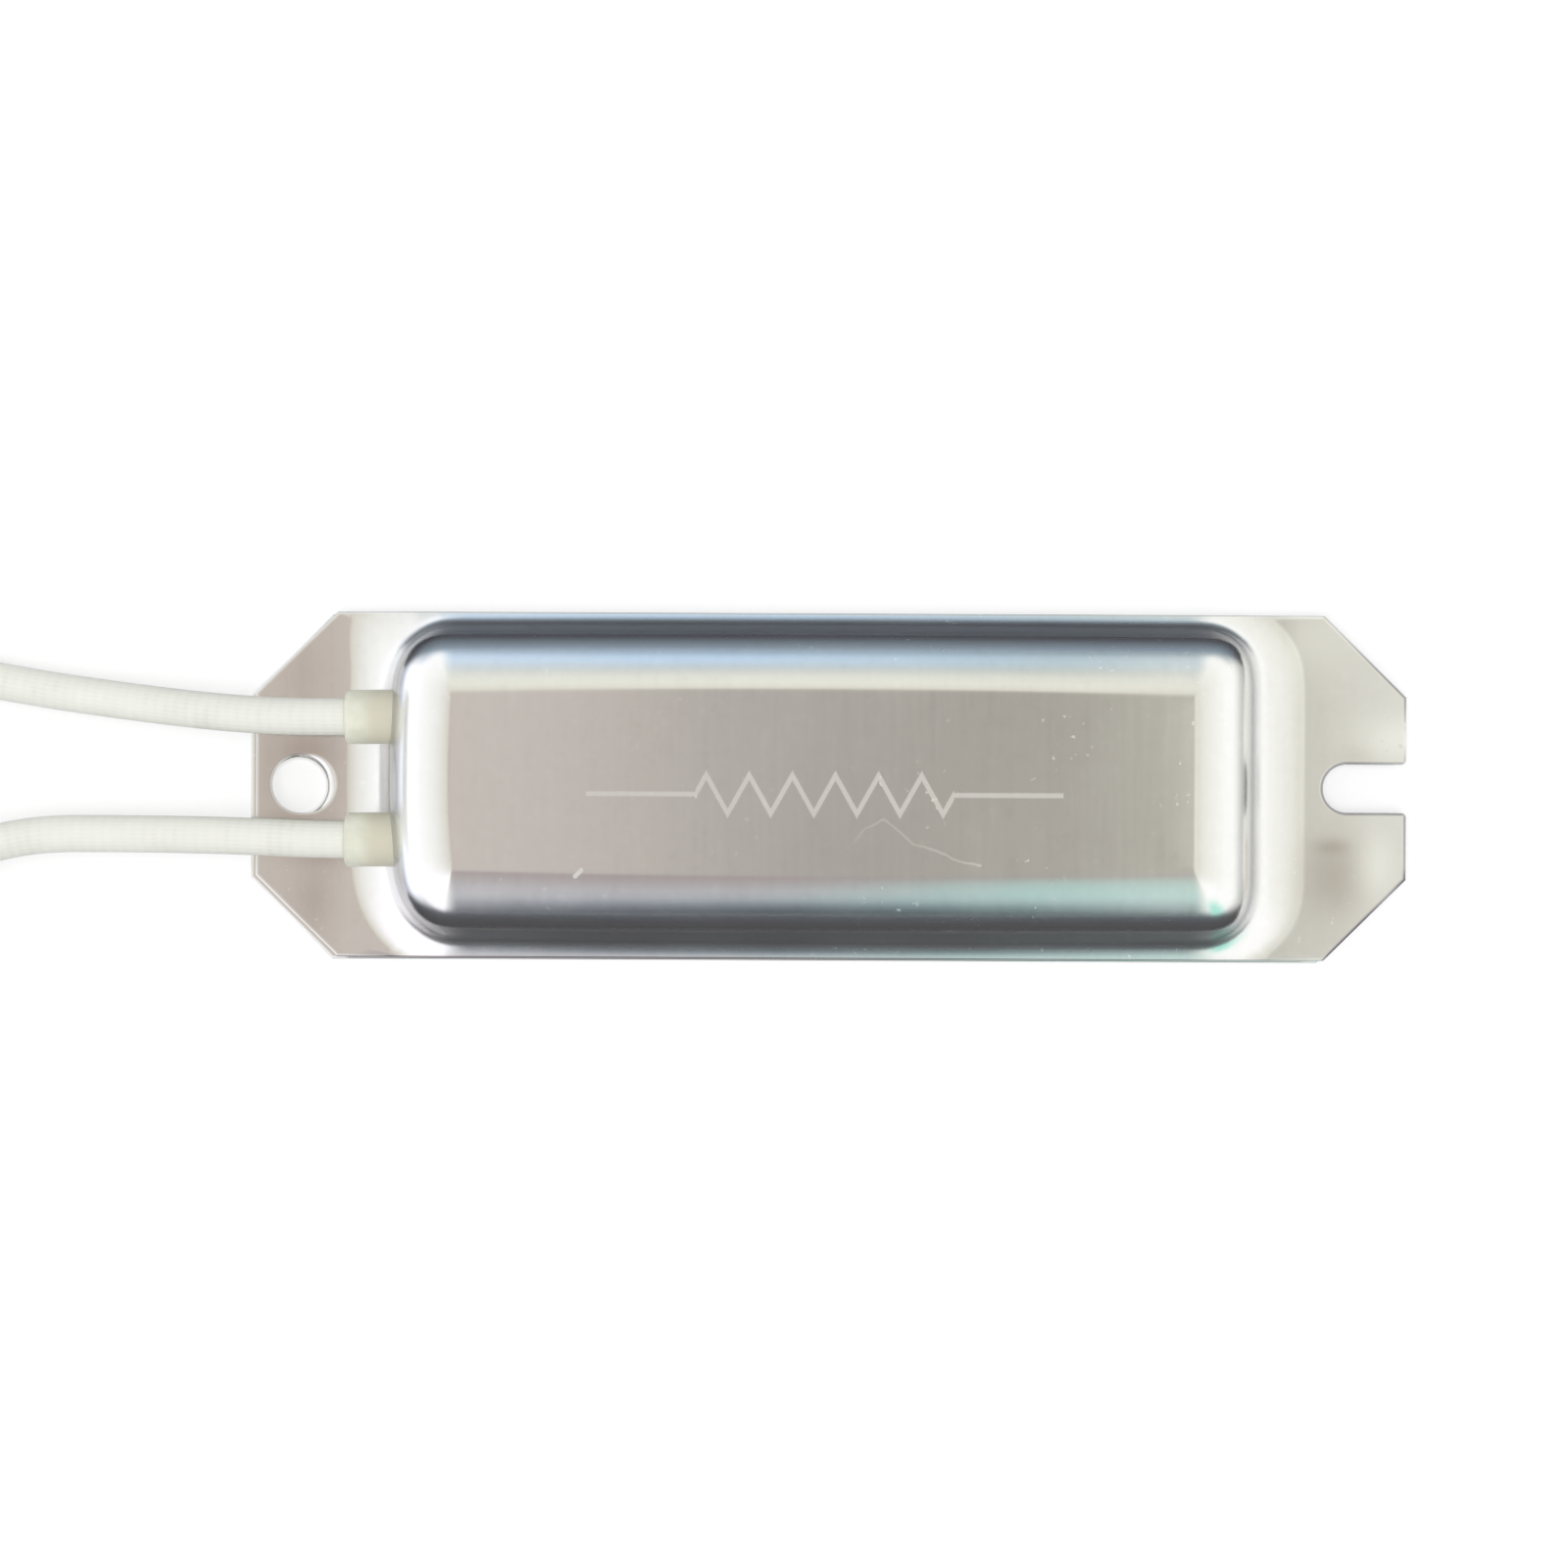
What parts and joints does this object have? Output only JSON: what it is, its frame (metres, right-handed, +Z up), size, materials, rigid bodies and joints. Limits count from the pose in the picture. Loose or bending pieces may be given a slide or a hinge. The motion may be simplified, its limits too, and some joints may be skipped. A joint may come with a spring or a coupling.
{
  "type": "power resistor",
  "caption": "Flat aluminium-cased wirewound power resistor: domed drawn cover on a base plate with chamfered ears, a screw hole, an open slot and white flying leads.",
  "frame": {"origin": "middle of the case, without the loose leads, on the face that is screwed to the heat sink", "axes": "+X along the case away from the leads, towards the slotted ear; +Y across the case; +Z up out of the cover's flat top"},
  "size_m": [0.2028, 0.03, 0.012],
  "materials": {
    "cover": "fine linear grain, satin",
    "base_plate": "mill finish, satin",
    "mica": "smooth",
    "cement": "matt, fine grit",
    "ceramic": "unglazed",
    "wire": "oxidised",
    "cap": "plated",
    "tinned": "tinned",
    "bushing": "translucent cream, satin",
    "lead": "white sleeve with a fine braid",
    "tie": "satin"
  },
  "bodies": {
    "root": {"cover": "cover", "base_plate": "base_plate", "mica_sheet": "mica", "cement_filling": "cement", "core_back": "ceramic", "core_front": "ceramic", "winding_back": "wire", "winding_front": "wire", "lead_cap_back": "cap", "lead_cap_front": "cap", "far_cap_back": "cap", "far_cap_front": "cap", "link_strip": "cap", "crimp_back": "tinned", "crimp_front": "tinned", "strands_back": "tinned", "strands_front": "tinned", "bushing_back": "bushing", "bushing_front": "bushing", "lead_back": "lead", "lead_front": "lead", "tip_back": "tinned", "tip_front": "tinned", "lead_hank": "lead", "hank_tie": "tie"}
  },
  "joints": []
}
